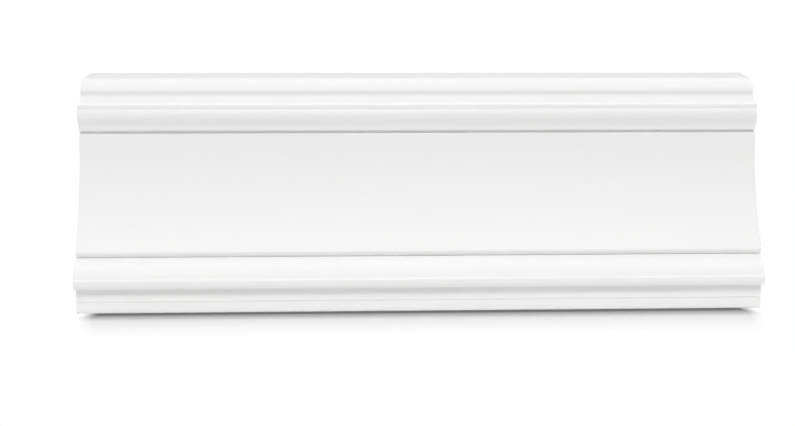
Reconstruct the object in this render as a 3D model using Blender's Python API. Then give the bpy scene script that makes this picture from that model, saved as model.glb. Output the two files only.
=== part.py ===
"""A short length of moulded skirting board, standing on its own foot.

It is one solid piece: a shallow cove between a beaded top rail and a heavy stepped foot, run along X
and cut square at both ends. The show face looks along -Y, the flat wall face along +Y, and the foot
stands on Z = 0. All sizes are in metres.
"""
import math

import bmesh
import bpy

# Length of the run, end to end
BOARD_LENGTH = 0.400

# Foot, from the floor up
BASE_DEPTH = 0.0240         # flat underside that the board stands on, from the wall face
RELIEF_RUN = 0.0122         # in front of it the underside is relieved, up to the toe
RELIEF_RISE = 0.0016
TOE_RISE = 0.0060
TOE_STEP = 0.0005           # the plinth band stands this far in front of the toe
TOE_STEP_RISE = 0.0010
PLINTH_RISE = 0.0072        # upright band above the toe
NOSE_SOFFIT = 0.0036        # flat underside of the nose, in front of the plinth band
NOSE_LEAN = 0.0018          # top of the nose arc stands this far in front of its bottom
NOSE_RISE = 0.0050
NOSE_SWELL = 0.0004
NOSE_LEDGE = 0.0010         # sloped top of the nose, in front of the ovolo
NOSE_LEDGE_RISE = 0.0010
OVOLO_SET_BACK = 0.0065
OVOLO_RISE = 0.0118
OVOLO_SWELL = 0.0013
QUIRK_DEPTH = 0.0007        # fine recess where the ovolo turns in under the lip
LIP_STEP = 0.0015           # the lip that overhangs the ovolo
LIP_RISE = 0.0031
LIP_SWELL = 0.0004

# Cove between foot and top rail
COVE_SET_BACK = 0.0115
COVE_RISE = 0.0686
COVE_HOLLOW = 0.0034

# Top rail, from the groove up
GROOVE_DEPTH = 0.0014
GROOVE_SLOPE_RISE = 0.0004  # the lower side of the groove slopes back, its floor is upright
GROOVE_RISE = 0.0011
BEAD_SEAT = 0.0018          # underside of the bead's neck, from the groove floor outwards
BEAD_SEAT_RISE = 0.0004
NECK_LEAN = 0.0015          # hollow neck that carries the bead
NECK_RISE = 0.0050
NECK_HOLLOW = 0.0003
BEAD_LEAN = 0.0001          # top of the bead arc stands this far in front of its bottom
BEAD_RISE = 0.0077
BEAD_SWELL = 0.0010
FILLET_PROUD = 0.0002       # the fillet overhangs the bead by this much
FILLET_RISE = 0.0022
CAVETTO_SET_BACK = 0.0063
CAVETTO_RISE = 0.0065
CAVETTO_HOLLOW = 0.0015
VALLEY_LEAN = 0.0004        # narrow strip between cavetto and roll, leaning out a little
VALLEY_RISE = 0.0018
ROLL_SET_BACK = 0.0072
ROLL_RISE = 0.0087
ROLL_SWELL = 0.0016
TOP_FALL = 0.0042           # the top edge falls this much from the wall face to the roll

# Radii of the eased edges
ARRIS_RADIUS = 0.0004
VALLEY_RADIUS = 0.0008
TOE_RADIUS = 0.0012

# Fineness of the round stretches
ARC_STEP = math.radians(4.0)
EASE_STEPS = 4
SMOOTH_ANGLE = math.radians(32.0)

# Satin white primer
PRIMER_WHITE = 0.88
PRIMER_ROUGHNESS = 0.42


class Section:
    """A moulding profile drawn member by member; each point is (depth from the wall, height)."""

    def __init__(self, depth, height):
        self.points = [(depth, height)]
        self.eases = [0.0]

    def line(self, out, up, ease=0.0):
        """Straight member; the corner that it ends on is eased to the given radius."""
        depth, height = self.points[-1]
        self.points.append((depth + out, height + up))
        self.eases.append(ease)

    def bow(self, out, up, swell, ease=0.0):
        """Arc member: its middle stands proud of its chord by swell, or is hollow where swell is negative."""
        depth, height = self.points[-1]
        chord = math.hypot(out, up)
        half_turn = 2.0 * math.atan2(2.0 * swell, chord)
        steps = max(2, math.ceil(abs(2.0 * half_turn) / ARC_STEP))
        along = (out / chord, up / chord)
        proud = (along[1], -along[0])
        radius = chord / (2.0 * math.sin(half_turn))
        for step in range(1, steps):
            angle = half_turn * (2.0 * step / steps - 1.0)
            run = chord / 2.0 + radius * math.sin(angle)
            lift = radius * (math.cos(angle) - math.cos(half_turn))
            self.points.append((depth + along[0] * run + proud[0] * lift,
                                height + along[1] * run + proud[1] * lift))
            self.eases.append(0.0)
        self.points.append((depth + out, height + up))
        self.eases.append(ease)

    def outline(self):
        """All points of the closed profile, with each eased corner replaced by a small curve."""
        smooth = []
        count = len(self.points)
        for index, (corner, radius) in enumerate(zip(self.points, self.eases)):
            if radius > 0.0:
                before = self.points[index - 1]
                after = self.points[(index + 1) % count]
                smooth += eased_corner(before, corner, after, radius)
            else:
                smooth.append(corner)
        return smooth


def eased_corner(before, corner, after, radius):
    """Points of the curve that eases one corner; the radius is limited by the members beside it."""
    to_before = (before[0] - corner[0], before[1] - corner[1])
    to_after = (after[0] - corner[0], after[1] - corner[1])
    length_before = math.hypot(*to_before)
    length_after = math.hypot(*to_after)
    cosine = (to_before[0] * to_after[0] + to_before[1] * to_after[1]) / (length_before * length_after)
    opening = math.acos(max(-1.0, min(1.0, cosine)))
    reach = min(radius / math.tan(opening / 2.0), length_before / 2.0, length_after / 2.0)
    start = [corner[axis] + to_before[axis] * reach / length_before for axis in range(2)]
    end = [corner[axis] + to_after[axis] * reach / length_after for axis in range(2)]
    curve = []
    for step in range(EASE_STEPS + 1):
        t = step / EASE_STEPS
        weights = ((1.0 - t) ** 2, 2.0 * t * (1.0 - t), t ** 2)
        curve.append(tuple(sum(weight * point[axis] for weight, point in zip(weights, (start, corner, end)))
                           for axis in range(2)))
    return curve


def skirting_section():
    """The profile of the board, from the foot of the wall face, round the show face to its top."""
    section = Section(0.0, 0.0)

    # Foot
    section.line(BASE_DEPTH, 0.0)
    section.line(RELIEF_RUN, RELIEF_RISE, ease=TOE_RADIUS)
    section.line(0.0, TOE_RISE)
    section.line(TOE_STEP, TOE_STEP_RISE, ease=ARRIS_RADIUS)
    section.line(0.0, PLINTH_RISE, ease=ARRIS_RADIUS)
    section.line(NOSE_SOFFIT, 0.0, ease=ARRIS_RADIUS)
    section.bow(NOSE_LEAN, NOSE_RISE, NOSE_SWELL, ease=ARRIS_RADIUS)
    section.line(-NOSE_LEDGE, NOSE_LEDGE_RISE, ease=ARRIS_RADIUS)
    section.bow(-OVOLO_SET_BACK, OVOLO_RISE, OVOLO_SWELL)
    section.line(-QUIRK_DEPTH, 0.0)
    section.bow(QUIRK_DEPTH + LIP_STEP, LIP_RISE, LIP_SWELL, ease=ARRIS_RADIUS)

    # Cove
    section.bow(-COVE_SET_BACK, COVE_RISE, -COVE_HOLLOW, ease=ARRIS_RADIUS)

    # Top rail
    section.line(-GROOVE_DEPTH, GROOVE_SLOPE_RISE)
    section.line(0.0, GROOVE_RISE)
    section.line(BEAD_SEAT, BEAD_SEAT_RISE, ease=ARRIS_RADIUS)
    section.bow(NECK_LEAN, NECK_RISE, -NECK_HOLLOW)
    section.bow(BEAD_LEAN, BEAD_RISE, BEAD_SWELL)
    section.line(FILLET_PROUD, 0.0)
    section.line(0.0, FILLET_RISE, ease=ARRIS_RADIUS)
    section.bow(-CAVETTO_SET_BACK, CAVETTO_RISE, -CAVETTO_HOLLOW, ease=VALLEY_RADIUS)
    section.line(VALLEY_LEAN, VALLEY_RISE, ease=VALLEY_RADIUS)
    section.bow(-ROLL_SET_BACK, ROLL_RISE, ROLL_SWELL, ease=ARRIS_RADIUS)

    # The top edge runs back and up to the wall face
    top_depth = section.points[-1][0]
    section.line(-top_depth, TOP_FALL)
    return section.outline()


def white_primer():
    """Satin white primer on the moulded board."""
    material = bpy.data.materials.new("white_primer")
    material.use_nodes = True
    shader = material.node_tree.nodes["Principled BSDF"]
    shader.inputs["Base Color"].default_value = (PRIMER_WHITE, PRIMER_WHITE, PRIMER_WHITE, 1.0)
    shader.inputs["Roughness"].default_value = PRIMER_ROUGHNESS
    shader.inputs["Metallic"].default_value = 0.0
    return material


def make_board():
    """Run the section along X, centred on the origin, and close both ends."""
    outline = skirting_section()
    depth = max(point[0] for point in outline)
    mesh = bpy.data.meshes.new("skirting_board")
    build = bmesh.new()
    ring = [build.verts.new((-BOARD_LENGTH / 2.0, depth / 2.0 - out, up)) for out, up in outline]
    end = build.faces.new(ring)
    run = bmesh.ops.extrude_face_region(build, geom=[end], use_keep_orig=True)
    moved = [item for item in run["geom"] if isinstance(item, bmesh.types.BMVert)]
    bmesh.ops.translate(build, vec=(BOARD_LENGTH, 0.0, 0.0), verts=moved)
    bmesh.ops.recalc_face_normals(build, faces=build.faces)
    build.to_mesh(mesh)
    build.free()
    mesh.shade_smooth()
    mesh.set_sharp_from_angle(angle=SMOOTH_ANGLE)
    mesh.materials.append(white_primer())
    board = bpy.data.objects.new("skirting_board", mesh)
    bpy.context.scene.collection.objects.link(board)
    return board


for leftover in list(bpy.data.objects):
    bpy.data.objects.remove(leftover, do_unlink=True)
make_board()
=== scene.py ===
"""Looks of the skirting board: a moulded, white-primed length of rigid foam, standing on a pale floor."""
import math

import bmesh
import bpy
from mathutils import Matrix, Vector, noise
from mathutils.geometry import delaunay_2d_cdt, intersect_point_line


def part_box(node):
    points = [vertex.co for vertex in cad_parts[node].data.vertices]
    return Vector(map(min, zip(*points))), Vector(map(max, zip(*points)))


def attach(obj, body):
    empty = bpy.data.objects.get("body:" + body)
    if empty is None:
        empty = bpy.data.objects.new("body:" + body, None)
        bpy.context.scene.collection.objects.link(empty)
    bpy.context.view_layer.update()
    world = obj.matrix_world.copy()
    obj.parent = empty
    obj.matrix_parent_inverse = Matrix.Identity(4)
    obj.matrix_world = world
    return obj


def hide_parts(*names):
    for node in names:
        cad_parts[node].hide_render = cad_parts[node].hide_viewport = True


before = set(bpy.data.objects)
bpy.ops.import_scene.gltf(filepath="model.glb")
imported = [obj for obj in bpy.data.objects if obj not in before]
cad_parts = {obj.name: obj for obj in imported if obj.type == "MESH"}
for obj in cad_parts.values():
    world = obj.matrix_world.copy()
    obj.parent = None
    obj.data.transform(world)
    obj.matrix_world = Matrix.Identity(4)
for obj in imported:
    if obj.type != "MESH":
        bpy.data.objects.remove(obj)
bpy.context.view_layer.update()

MM = 0.001
NODE = "skirting_board"

# The photograph's frame, and the camera that it was taken with
IMAGE_WIDTH = 795
FOCAL_LENGTH_PX = 900.0
SENSOR_WIDTH = 36.0
CAMERA_X = -0.0300
CAMERA_FROM_WALL_FACE = 0.5576
CAMERA_HEIGHT = 0.0868
CAMERA_YAW = math.radians(1.72)
CAMERA_PITCH = math.radians(3.07)
CAMERA_ROLL = math.radians(-0.226)

# Fineness of the visible board, and how near two places are that count as one
STATION_SPACING = 2.5 * MM
FACET_LENGTH = 1.2 * MM
CREASE = math.radians(24.0)
POINT_DECIMALS = 6
SAME_PLACE = 1e-7
TOUCHING = 0.1 * MM

# The run is never quite even: its faces lie this much inside the true section here and there
RIPPLE_DEPTH = 0.04 * MM
RIPPLE_LENGTH = 60.0 * MM
RIPPLE_WIDTH = 15.0 * MM

# Sawn ends: a rubbed-down arris, the dense moulded skin, and the foam inside it
SAWN_ARRIS = 0.25 * MM
SKIN_THICKNESS = 0.6 * MM
INNER_ROW_CLEARANCE = 0.95 * SKIN_THICKNESS
CORE_MESH_SIZE = 3.0 * MM

# The underside and its relief lie below this height
UNDERSIDE_HEIGHT = 1.7 * MM

# The board's materials, in their order on its mesh
SHOW_FACE, PLAIN_FACE, SAWN_END = range(3)

# Sprayed primer: the lines that the mould left, the orange peel, the uneven coat and the fine dust in it
MOULD_LINE_WIDTH = 0.7 * MM
MOULD_LINE_STRETCH = 90.0
MOULD_LINE_DEPTH = 0.006 * MM
PEEL_SIZE = 1.3 * MM
PEEL_DEPTH = 0.010 * MM
COAT_PATCH = 28.0 * MM
COAT_STRETCH = 4.0
DUST_SIZE = 2.4 * MM
DUST_STRETCH = 1.5
PRIMER_COLOURS = ("E5E5E4", "E7E7E7")
PRIMER_ROUGHNESS = (0.44, 0.52)
PRIMER_IOR = 1.47

# Planed foam: the planer's lines, the pores, and the share of the overspray's colour that a line can reach
PLANER_LINE_WIDTH = 1.6 * MM
PLANER_LINE_STRETCH = 90.0
PLANER_LINE_DEPTH = 0.035 * MM
PORE_SIZE = 0.9 * MM
PORE_DEPTH = 0.040 * MM
POLISH = 0.6
POLISH_RANGE = (0.3, 0.7)
PLANED_COLOURS = ("DFDDD5", "E6E6E5")
PLANED_ROUGHNESS = (0.76, 0.56)

# Overspray: its ragged edge, and where it begins and is full, from the top down and from the floor up
SPRAY_PATCH = 9.0 * MM
SPRAY_STRETCH = 2.0
SPRAY_RAGGED = 5.0 * MM
TOP_SPRAY_BEGINS = 9.0 * MM
TOP_SPRAY_FULL = 2.0 * MM
FLOOR_SPRAY_BEGINS = 5.0 * MM
FLOOR_SPRAY_FULL = 0.5 * MM

# Sawn foam: where the skin gives way to the core, and the cells in it, whose pits are painted darker as shade
CORE_BEGINS = 0.6 * SKIN_THICKNESS
CORE_FULL = 1.6 * SKIN_THICKNESS
CELL_SIZE = 1.1 * MM        # real cells are about 0.2 mm across, too fine to show, so these are coarser
CELL_DEPTH = 0.120 * MM
# painted shade in the pits: the share of it left on the cell walls, and the cell distances over which it
# fades
WALL_SHARE_OF_PAINTED_PIT_SHADE = 0.55
PAINTED_PIT_SHADE_RANGE = (0.1, 0.6)
# skin to core; the darkest colour is reached in the cells' pits, which are painted darker as shade
FOAM_COLOURS = ("E9E8E5", "CFCAB6")
FOAM_ROUGHNESS = (0.60, 0.88)

# Marks of the saw blade
WAVE_PERIOD = 0.31          # a wave texture's bands lie about this far apart at scale 1
BLADE_PITCH = 2.6 * MM
BLADE_LEAN = math.radians(8.0)
BLADE_WANDER = 1.5
BLADE_DEPTH = 0.050 * MM
BLADE_SHADE = 0.8

# Soft boxes: their size and distance, and for each its elevation, its azimuth from the front, and its watts
LIGHT_TARGET = Vector((0.0, 0.0, 70.0 * MM))
LIGHT_DISTANCE = 1.6
LIGHT_LENGTH = 2.6
LIGHT_DEPTH = 0.5
SOFT_BOXES = {
    "low_fill": (5.0, 0.0, 3.8),
    "front_fill": (35.0, 0.0, 4.2),
    "front_key": (50.0, 0.0, 20.2),
    "overhead": (85.0, 0.0, 7.0),
    "overhead_back": (70.0, 180.0, 9.0),
    "back_fill": (12.0, 180.0, 18.0),
    "left_fill": (12.0, -90.0, 5.0),
    "right_fill": (12.0, 90.0, 5.0),
}
SURROUNDINGS_STRENGTH = 0.03

# The white sheet under the board, and the light that it throws back
SHEET_REACH = 0.30
SHEET_FADE = 0.10
SHEET_BOUNCE = 0.90
FLOOR_BOUNCE = 0.15
FLOOR_SIZE = 40.0

# Painted shade at the foot: how the sheet's colour darkens it, how much white glow lifts it, and how far it
# runs out from the board before the floor is white
FLOOR_WHITE = 0.67
CONTACT_REACH = 20.0 * MM
CONTACT_POWER = 1.1
SHADE_LIFT = 0.17
SHADE_RUN_OUT = 60.0 * MM
END_RUN_OUT = 8.0 * MM
END_INSET = 10.0 * MM
END_TAPER = 0.37


def linear(hex_colour):
    """An sRGB hex colour as linear RGBA."""
    channels = [int(hex_colour[i:i + 2], 16) / 255.0 for i in (0, 2, 4)]
    return [c / 12.92 if c <= 0.04045 else ((c + 0.055) / 1.055) ** 2.4 for c in channels] + [1.0]


def add_node(tree, kind, settings=None, links=None):
    """Adds a node; settings are attributes or input values by name, links are input name to output socket."""
    node = tree.nodes.new(kind)
    for name, value in (settings or {}).items():
        if isinstance(name, int) or name in node.inputs:
            node.inputs[name].default_value = value
        else:
            setattr(node, name, value)
    for name, socket in (links or {}).items():
        tree.links.new(socket, node.inputs[name])
    return node


def new_material(name):
    """An empty material with one Principled shader; returns the material, its tree and the shader."""
    material = bpy.data.materials.new(name)
    material.use_nodes = True
    tree = material.node_tree
    return material, tree, tree.nodes["Principled BSDF"]


def object_place(tree):
    """Object coordinates, which are metres in the board's own frame."""
    return add_node(tree, "ShaderNodeTexCoord").outputs["Object"]


def grain(tree, place, size, stretch=1.0, detail=2.0):
    """Noise with spots of the given size, drawn out along the run by stretch."""
    scale = (1.0 / (size * stretch), 1.0 / size, 1.0 / size)
    mapping = add_node(tree, "ShaderNodeMapping", {"Scale": scale}, {"Vector": place})
    spots = add_node(tree, "ShaderNodeTexNoise", {"Scale": 1.0, "Detail": detail},
                     {"Vector": mapping.outputs["Vector"]})
    return spots.outputs["Fac"]


def spread(tree, value, low, high, start=0.0, end=1.0):
    """The value between start and end, spread from low to high."""
    limits = {"From Min": start, "From Max": end, "To Min": low, "To Max": high}
    return add_node(tree, "ShaderNodeMapRange", limits, {"Value": value}).outputs["Result"]


def tint(tree, value, low_colour, high_colour):
    """A colour that goes from low_colour at 0 to high_colour at 1."""
    ramp = add_node(tree, "ShaderNodeValToRGB", links={"Fac": value})
    ramp.color_ramp.elements[0].color = linear(low_colour)
    ramp.color_ramp.elements[1].color = linear(high_colour)
    return ramp.outputs["Color"]


def relief(tree, height, depth, under=None):
    """Bump of the given depth in metres, on top of another bump where one is given."""
    links = {"Height": height}
    if under:
        links["Normal"] = under
    return add_node(tree, "ShaderNodeBump", {"Distance": depth}, links).outputs["Normal"]


def sprayed_white_primer():
    """Acrylic primer sprayed on the moulded skin: satin and even, with a fine orange peel over faint
    lines that the mould left along the run."""
    material, tree, shader = new_material("sprayed_white_primer")
    place = object_place(tree)
    lines = grain(tree, place, MOULD_LINE_WIDTH, stretch=MOULD_LINE_STRETCH)
    mould_lines = relief(tree, lines, MOULD_LINE_DEPTH)
    peel = grain(tree, place, PEEL_SIZE, detail=3.0)
    orange_peel = relief(tree, peel, PEEL_DEPTH, under=mould_lines)
    coat_thickness = grain(tree, place, COAT_PATCH, stretch=COAT_STRETCH, detail=3.0)
    fine_dust = grain(tree, place, DUST_SIZE, stretch=DUST_STRETCH, detail=4.0)
    tree.links.new(orange_peel, shader.inputs["Normal"])
    tree.links.new(tint(tree, coat_thickness, *PRIMER_COLOURS), shader.inputs["Base Color"])
    tree.links.new(spread(tree, fine_dust, *PRIMER_ROUGHNESS), shader.inputs["Roughness"])
    shader.inputs["IOR"].default_value = PRIMER_IOR
    return material


def planed_back():
    """The side that meets the wall and the floor: dense foam planed flat, with lines of the planer along
    the run and a little overspray that came round the top and bottom edges."""
    material, tree, shader = new_material("planed_back")
    place = object_place(tree)
    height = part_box(NODE)[1].z
    lines = grain(tree, place, PLANER_LINE_WIDTH, stretch=PLANER_LINE_STRETCH, detail=3.0)
    planer_lines = relief(tree, lines, PLANER_LINE_DEPTH)
    pores = relief(tree, grain(tree, place, PORE_SIZE, detail=1.0), PORE_DEPTH, under=planer_lines)
    up = add_node(tree, "ShaderNodeSeparateXYZ", links={"Vector": place}).outputs["Z"]
    patches = grain(tree, place, SPRAY_PATCH, stretch=SPRAY_STRETCH, detail=5.0)
    ragged = spread(tree, patches, -SPRAY_RAGGED, SPRAY_RAGGED)
    edge = add_node(tree, "ShaderNodeMath", {"operation": "ADD"}, {0: up, 1: ragged}).outputs[0]
    near_top = spread(tree, edge, 0.0, 1.0, height - TOP_SPRAY_BEGINS, height - TOP_SPRAY_FULL)
    near_floor = spread(tree, edge, 1.0, 0.0, FLOOR_SPRAY_FULL, FLOOR_SPRAY_BEGINS)
    overspray = add_node(tree, "ShaderNodeMath", {"operation": "MAXIMUM"}, {0: near_top, 1: near_floor})
    polished = spread(tree, lines, 0.0, POLISH, *POLISH_RANGE)
    light_places = add_node(tree, "ShaderNodeMath", {"operation": "MAXIMUM"},
                            {0: overspray.outputs[0], 1: polished}).outputs[0]
    tree.links.new(pores, shader.inputs["Normal"])
    tree.links.new(tint(tree, light_places, *PLANED_COLOURS), shader.inputs["Base Color"])
    tree.links.new(spread(tree, light_places, *PLANED_ROUGHNESS), shader.inputs["Roughness"])
    return material


def sawn_foam():
    """The sawn end: closed cells in the core, a dense white skin round it, and marks of the saw blade. The
    cells' pits are painted darker than their walls, as shade.
    """
    material, tree, shader = new_material("sawn_foam")
    place = object_place(tree)
    into = add_node(tree, "ShaderNodeAttribute", {"attribute_name": "skin_depth"}).outputs["Fac"]
    core = spread(tree, into, 0.0, 1.0, CORE_BEGINS, CORE_FULL)
    cell_place = add_node(tree, "ShaderNodeMapping", {"Scale": [1.0 / CELL_SIZE] * 3}, {"Vector": place})
    cells = add_node(tree, "ShaderNodeTexVoronoi", {"Scale": 1.0, "Randomness": 1.0},
                     {"Vector": cell_place.outputs["Vector"]}).outputs["Distance"]
    open_cells = add_node(tree, "ShaderNodeMath", {"operation": "MULTIPLY"}, {0: cells, 1: core}).outputs[0]
    blade_place = add_node(tree, "ShaderNodeMapping", {"Rotation": (BLADE_LEAN, 0.0, 0.0)}, {"Vector": place})
    wave = {"bands_direction": "Y", "Scale": WAVE_PERIOD / BLADE_PITCH, "Distortion": BLADE_WANDER,
            "Detail": 2.0, "Detail Scale": 1.5}
    blade = add_node(tree, "ShaderNodeTexWave", wave,
                     {"Vector": blade_place.outputs["Vector"]}).outputs["Fac"]
    saw_marks = relief(tree, blade, BLADE_DEPTH)
    foam = relief(tree, open_cells, CELL_DEPTH, under=saw_marks)
    # painted shade: each cell's pit is coloured darker than its walls
    painted_pit_shade = spread(tree, cells, 1.0, WALL_SHARE_OF_PAINTED_PIT_SHADE, *PAINTED_PIT_SHADE_RANGE)
    blade_shade = spread(tree, blade, BLADE_SHADE, 1.0)
    marks = add_node(tree, "ShaderNodeMath", {"operation": "MULTIPLY"}, {0: painted_pit_shade, 1: blade_shade})
    shade = add_node(tree, "ShaderNodeMath", {"operation": "MULTIPLY"}, {0: core, 1: marks.outputs[0]})
    tree.links.new(foam, shader.inputs["Normal"])
    tree.links.new(tint(tree, shade.outputs[0], *FOAM_COLOURS), shader.inputs["Base Color"])
    tree.links.new(spread(tree, core, *FOAM_ROUGHNESS), shader.inputs["Roughness"])
    return material


def section_outline(node):
    """The CAD node's section as an ordered loop of (y, z), read from the edge of its left end."""
    mesh = node.data
    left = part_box(node.name)[0].x
    points = {v.index: (round(v.co.y, POINT_DECIMALS), round(v.co.z, POINT_DECIMALS))
              for v in mesh.vertices if v.co.x < left + TOUCHING}
    edges = {}
    for face in mesh.polygons:
        if all(index in points for index in face.vertices):
            for a, b in face.edge_keys:
                pair = frozenset((points[a], points[b]))
                edges[pair] = edges.get(pair, 0) + 1
    neighbours = {}
    for pair, uses in edges.items():
        if uses == 1:
            a, b = pair
            neighbours.setdefault(a, []).append(b)
            neighbours.setdefault(b, []).append(a)
    start = max(neighbours)
    loop = [start, neighbours[start][0]]
    while len(loop) < len(neighbours):
        a, b = neighbours[loop[-1]]
        loop.append(b if a == loop[-2] else a)
    turning = sum(a[0] * b[1] - b[0] * a[1] for a, b in zip(loop, loop[1:] + loop[:1]))
    if turning < 0.0:
        loop.reverse()
    return [Vector(point) for point in loop]


def bend(start, start_slope, end, end_slope, t):
    """Point at t of the curve that leaves start along start_slope and comes to end along end_slope."""
    return ((2.0 * t ** 3 - 3.0 * t ** 2 + 1.0) * start + (t ** 3 - 2.0 * t ** 2 + t) * start_slope
            + (3.0 * t ** 2 - 2.0 * t ** 3) * end + (t ** 3 - t ** 2) * end_slope)


def fine_outline(outline):
    """The loop with its facets divided. Curved members become true curves; flat ones stay flat."""
    count = len(outline)
    chords = [outline[(i + 1) % count] - outline[i] for i in range(count)]

    def slope(own, beside):
        """Direction at the end of a chord: shared with the next one where both are of one curve."""
        curved = beside.length > own.length / 2.0 and own.angle(beside) < CREASE
        shared = own.normalized() + beside.normalized() if curved else own
        return shared.normalized() * own.length

    low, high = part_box(NODE)
    fine = []
    for i, chord in enumerate(chords):
        steps = max(1, round(chord.length / FACET_LENGTH))
        start_slope = slope(chord, chords[i - 1])
        end_slope = slope(chord, chords[(i + 1) % count])
        for step in range(steps):
            y, z = bend(outline[i], start_slope, outline[(i + 1) % count], end_slope, step / steps)
            fine.append(Vector((min(max(y, low.y), high.y), min(max(z, low.z), high.z))))
    return fine


def outward(loop):
    """Unit vectors that point out of the section at each point of a counter-clockwise loop."""
    directions = []
    for before, after in zip(loop[-1:] + loop[:-1], loop[1:] + loop[:1]):
        along = (after - before).normalized()
        directions.append(Vector((along.y, -along.x)))
    return directions


def inside(point, loop):
    """Whether a point lies within the loop."""
    crossings = 0
    for a, b in zip(loop, loop[1:] + loop[:1]):
        if (a.y > point.y) != (b.y > point.y):
            crossings += point.x < a.x + (b.x - a.x) * (point.y - a.y) / (b.y - a.y)
    return crossings % 2 == 1


def depth_inside(point, loop):
    """How far a point of the section lies from its outline."""
    nearest = math.inf
    for a, b in zip(loop, loop[1:] + loop[:1]):
        foot, share = intersect_point_line(point, a, b)
        if share < 0.0:
            foot = a
        elif share > 1.0:
            foot = b
        nearest = min(nearest, (point - foot.to_2d()).length)
    return nearest


def core_points(loop, directions):
    """Points inside the section: a row along the inner side of the skin, and a staggered grid in the core."""
    low_y, high_y = min(p.x for p in loop), max(p.x for p in loop)
    low_z, high_z = min(p.y for p in loop), max(p.y for p in loop)
    points = [(point - direction * SKIN_THICKNESS, INNER_ROW_CLEARANCE)
              for point, direction in zip(loop, directions)]
    row_height = CORE_MESH_SIZE * math.sin(math.radians(60.0))
    for row in range(int((high_z - low_z) / row_height) + 1):
        shift = CORE_MESH_SIZE / 2.0 * (row % 2)
        for column in range(int((high_y - low_y) / CORE_MESH_SIZE) + 1):
            point = Vector((low_y + shift + column * CORE_MESH_SIZE, low_z + row * row_height))
            if inside(point, loop):
                points.append((point, CORE_MESH_SIZE / 2.0))
    return [point for point, least in points if depth_inside(point, loop) >= least]


def cap_end(build, ring, x, loop, core, skin_depth):
    """Closes one sawn end with triangles between the ring and the points of the core."""
    rim = [(i, (i + 1) % len(loop)) for i in range(len(loop))]
    placed, _, triangles, origin, _, _ = delaunay_2d_cdt(loop + core, rim, [], 1, SAME_PLACE)
    corners = []
    for position, sources in zip(placed, origin):
        if sources and sources[0] < len(loop):
            corners.append(ring[sources[0]])
        else:
            corner = build.verts.new((x, position.x, position.y))
            corner[skin_depth] = depth_inside(position, loop)
            corners.append(corner)
    for triangle in triangles:
        face = build.faces.new([corners[i] for i in triangle])
        face.material_index = SAWN_END


def face_kind(a, b, wall_face):
    """Whether the face between two outline points is plain, on the back or the underside, or for show."""
    on_wall_face = min(a.x, b.x) > wall_face - TOUCHING
    return PLAIN_FACE if on_wall_face or max(a.y, b.y) < UNDERSIDE_HEIGHT else SHOW_FACE


def make_board(outline):
    """The board as rings of points along the run, closed by its two sawn ends."""
    low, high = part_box(NODE)
    loop = fine_outline(outline)
    directions = outward(loop)
    arris = [point - direction * SAWN_ARRIS for point, direction in zip(loop, directions)]
    stations = round((high.x - low.x) / STATION_SPACING)
    places = [low.x + (high.x - low.x) * station / stations for station in range(1, stations)]
    places = [low.x + SAWN_ARRIS] + places + [high.x - SAWN_ARRIS]

    build = bmesh.new()
    skin_depth = build.verts.layers.float.new("skin_depth")
    rings = [[build.verts.new((low.x, p.x, p.y)) for p in arris]]
    for x in places:
        ring = []
        for point, direction in zip(loop, directions):
            spot = Vector((x / RIPPLE_LENGTH, point.x / RIPPLE_WIDTH, point.y / RIPPLE_WIDTH))
            sunk = point - direction * RIPPLE_DEPTH * (0.5 + 0.5 * noise.noise(spot))
            ring.append(build.verts.new((x, sunk.x, sunk.y)))
        rings.append(ring)
    rings.append([build.verts.new((high.x, p.x, p.y)) for p in arris])

    kinds = [face_kind(a, b, high.y) for a, b in zip(loop, loop[1:] + loop[:1])]
    for ring, following in zip(rings, rings[1:]):
        for i, kind in enumerate(kinds):
            j = (i + 1) % len(loop)
            face = build.faces.new((ring[i], following[i], following[j], ring[j]))
            face.material_index = kind
    core = core_points(arris, directions)
    cap_end(build, rings[0], low.x, arris, core, skin_depth)
    cap_end(build, rings[-1], high.x, arris, core, skin_depth)
    bmesh.ops.recalc_face_normals(build, faces=build.faces)

    mesh = bpy.data.meshes.new("moulded_board")
    build.to_mesh(mesh)
    build.free()
    mesh.shade_smooth()
    mesh.set_sharp_from_angle(angle=CREASE)
    for material in (sprayed_white_primer(), planed_back(), sawn_foam()):
        mesh.materials.append(material)
    board = bpy.data.objects.new("moulded_board", mesh)
    bpy.context.scene.collection.objects.link(board)
    return board


def make_camera():
    """The camera, placed from the wall face and turned as the photograph shows the board."""
    wall_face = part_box(NODE)[1].y
    data = bpy.data.cameras.new("camera")
    data.sensor_width = SENSOR_WIDTH
    data.lens = FOCAL_LENGTH_PX / IMAGE_WIDTH * SENSOR_WIDTH
    camera = bpy.data.objects.new("camera", data)
    turn = (Matrix.Rotation(-CAMERA_YAW, 4, "Z") @ Matrix.Rotation(math.pi / 2.0 - CAMERA_PITCH, 4, "X")
            @ Matrix.Rotation(CAMERA_ROLL, 4, "Z"))
    place = Matrix.Translation((CAMERA_X, wall_face - CAMERA_FROM_WALL_FACE, CAMERA_HEIGHT))
    camera.matrix_world = place @ turn
    bpy.context.scene.collection.objects.link(camera)
    bpy.context.scene.camera = camera


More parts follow.
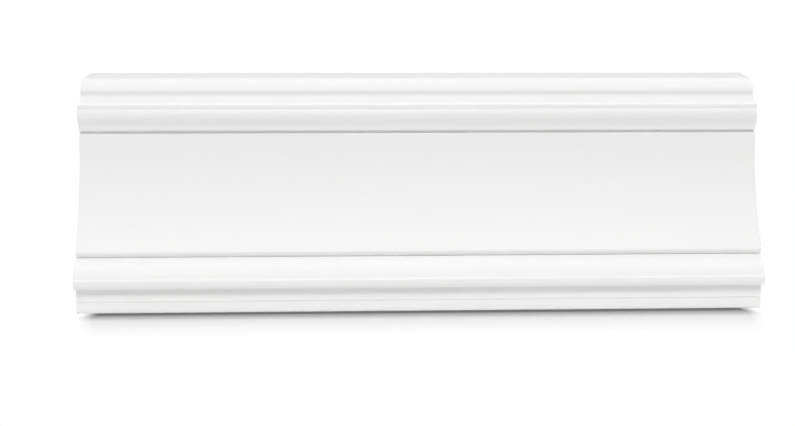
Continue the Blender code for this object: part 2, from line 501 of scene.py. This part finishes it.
def shade_place(tree):
    """Where the floor carries the board's shade: 1 along the foot, less in front of it and behind it, and
    nothing past the ends, which close in with the distance from the foot."""
    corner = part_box(NODE)[1]
    half_size = (corner.x - END_INSET, corner.y, 0.0)
    any_x = (-FLOOR_SIZE, 0.0, 0.0)
    mirrored = add_node(tree, "ShaderNodeVectorMath", {"operation": "ABSOLUTE"}, {0: object_place(tree)})
    past = add_node(tree, "ShaderNodeVectorMath", {"operation": "SUBTRACT", 1: half_size},
                    {0: mirrored.outputs[0]})
    outside = add_node(tree, "ShaderNodeVectorMath", {"operation": "MAXIMUM", 1: any_x}, {0: past.outputs[0]})
    shares = []
    for direction, length in (((1.0, END_TAPER, 0.0), END_RUN_OUT), ((0.0, 1.0, 0.0), SHADE_RUN_OUT)):
        along = add_node(tree, "ShaderNodeVectorMath", {"operation": "DOT_PRODUCT", 1: direction},
                         {0: outside.outputs[0]})
        shares.append(spread(tree, along.outputs["Value"], 1.0, 0.0, 0.0, length))
    shade = add_node(tree, "ShaderNodeMath", {"operation": "MULTIPLY"}, {0: shares[0], 1: shares[1]})
    return shade.outputs[0]


def make_floor():
    """A white sheet under the board that runs on as a white studio floor. Only the sheet, close to the
    board, throws much light back on it; past it the studio is dim, though the picture shows it white.
    The shade close to the foot is deepened by painted shade in the sheet's colour and lifted a little by
    white glow, as in the photograph."""
    mesh = bpy.data.meshes.new("floor")
    side = FLOOR_SIZE / 2.0
    mesh.from_pydata([(-side, -side, 0), (side, -side, 0), (side, side, 0), (-side, side, 0)], [],
                     [(0, 1, 2, 3)])
    floor = bpy.data.objects.new("floor", mesh)
    bpy.context.scene.collection.objects.link(floor)
    material, tree, shader = new_material("white_sheet")
    tree.nodes.remove(shader)
    away = add_node(tree, "ShaderNodeSeparateXYZ", links={"Vector": object_place(tree)}).outputs["Y"]
    distance = add_node(tree, "ShaderNodeMath", {"operation": "ABSOLUTE"}, {0: away}).outputs[0]
    bounce = spread(tree, distance, SHEET_BOUNCE, FLOOR_BOUNCE, SHEET_REACH, SHEET_REACH + SHEET_FADE)
    thrown_back = add_node(tree, "ShaderNodeBsdfDiffuse", links={"Color": bounce})
    # painted shade: the sheet's colour darkens where the board hems it in, so the shadow at the foot is
    # deeper than the lamps cast
    openness = add_node(tree, "ShaderNodeAmbientOcclusion", {"Distance": CONTACT_REACH}).outputs["AO"]
    painted_contact_shade = add_node(tree, "ShaderNodeMath", {"operation": "POWER", 1: CONTACT_POWER}, {0: openness})
    near = add_node(tree, "ShaderNodeBsdfDiffuse",
                    links={"Color": spread(tree, painted_contact_shade.outputs[0], 0.0, FLOOR_WHITE)})
    far = add_node(tree, "ShaderNodeEmission", {"Color": linear("FFFFFF"), "Strength": 1.0})
    # a share of white glow lifts the painted shade at the foot, and past the shade the floor shows plain
    # white
    shown = add_node(tree, "ShaderNodeMixShader", links={
        0: spread(tree, shade_place(tree), 1.0, SHADE_LIFT), 1: near.outputs[0], 2: far.outputs[0]})
    path = add_node(tree, "ShaderNodeLightPath")
    surface = add_node(tree, "ShaderNodeMixShader", links={
        0: path.outputs["Is Camera Ray"], 1: thrown_back.outputs[0], 2: shown.outputs[0]})
    tree.links.new(surface.outputs[0], tree.nodes["Material Output"].inputs["Surface"])
    mesh.materials.append(material)


def soft_box(name, elevation, azimuth, power):
    """A long soft box that looks at the middle of the board; azimuth 0 is in front of it."""
    rise = math.radians(elevation)
    turn = math.radians(azimuth)
    away = Vector((math.sin(turn) * math.cos(rise), -math.cos(turn) * math.cos(rise), math.sin(rise)))
    data = bpy.data.lights.new(name, "AREA")
    data.shape = "RECTANGLE"
    data.size = LIGHT_LENGTH
    data.size_y = LIGHT_DEPTH
    data.energy = power
    light = bpy.data.objects.new(name, data)
    light.location = LIGHT_TARGET + away * LIGHT_DISTANCE
    light.rotation_euler = (-away).to_track_quat("-Z", "Y").to_euler()
    light.visible_camera = False
    bpy.context.scene.collection.objects.link(light)


def make_surroundings():
    """Even, dim surroundings that show as plain white above the floor."""
    world = bpy.data.worlds.new("surroundings")
    world.use_nodes = True
    tree = world.node_tree
    path = add_node(tree, "ShaderNodeLightPath")
    shown = spread(tree, path.outputs["Is Camera Ray"], SURROUNDINGS_STRENGTH, 1.0)
    tree.nodes["Background"].inputs["Color"].default_value = linear("FFFFFF")
    tree.links.new(shown, tree.nodes["Background"].inputs["Strength"])
    bpy.context.scene.world = world


def light_studio():
    """The front soft boxes model the section, and the overhead ones draw its grooves and the shadow at its
    foot. Those at the ends light the sawn faces and lift the show face a little, and the one behind the
    board only shows in other views."""
    make_surroundings()
    for name, (elevation, azimuth, power) in SOFT_BOXES.items():
        soft_box(name, elevation, azimuth, power)


bpy.context.scene.view_settings.view_transform = "Standard"
make_camera()
board = make_board(section_outline(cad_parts[NODE]))
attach(board, "root")
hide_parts(NODE)
make_floor()
light_studio()
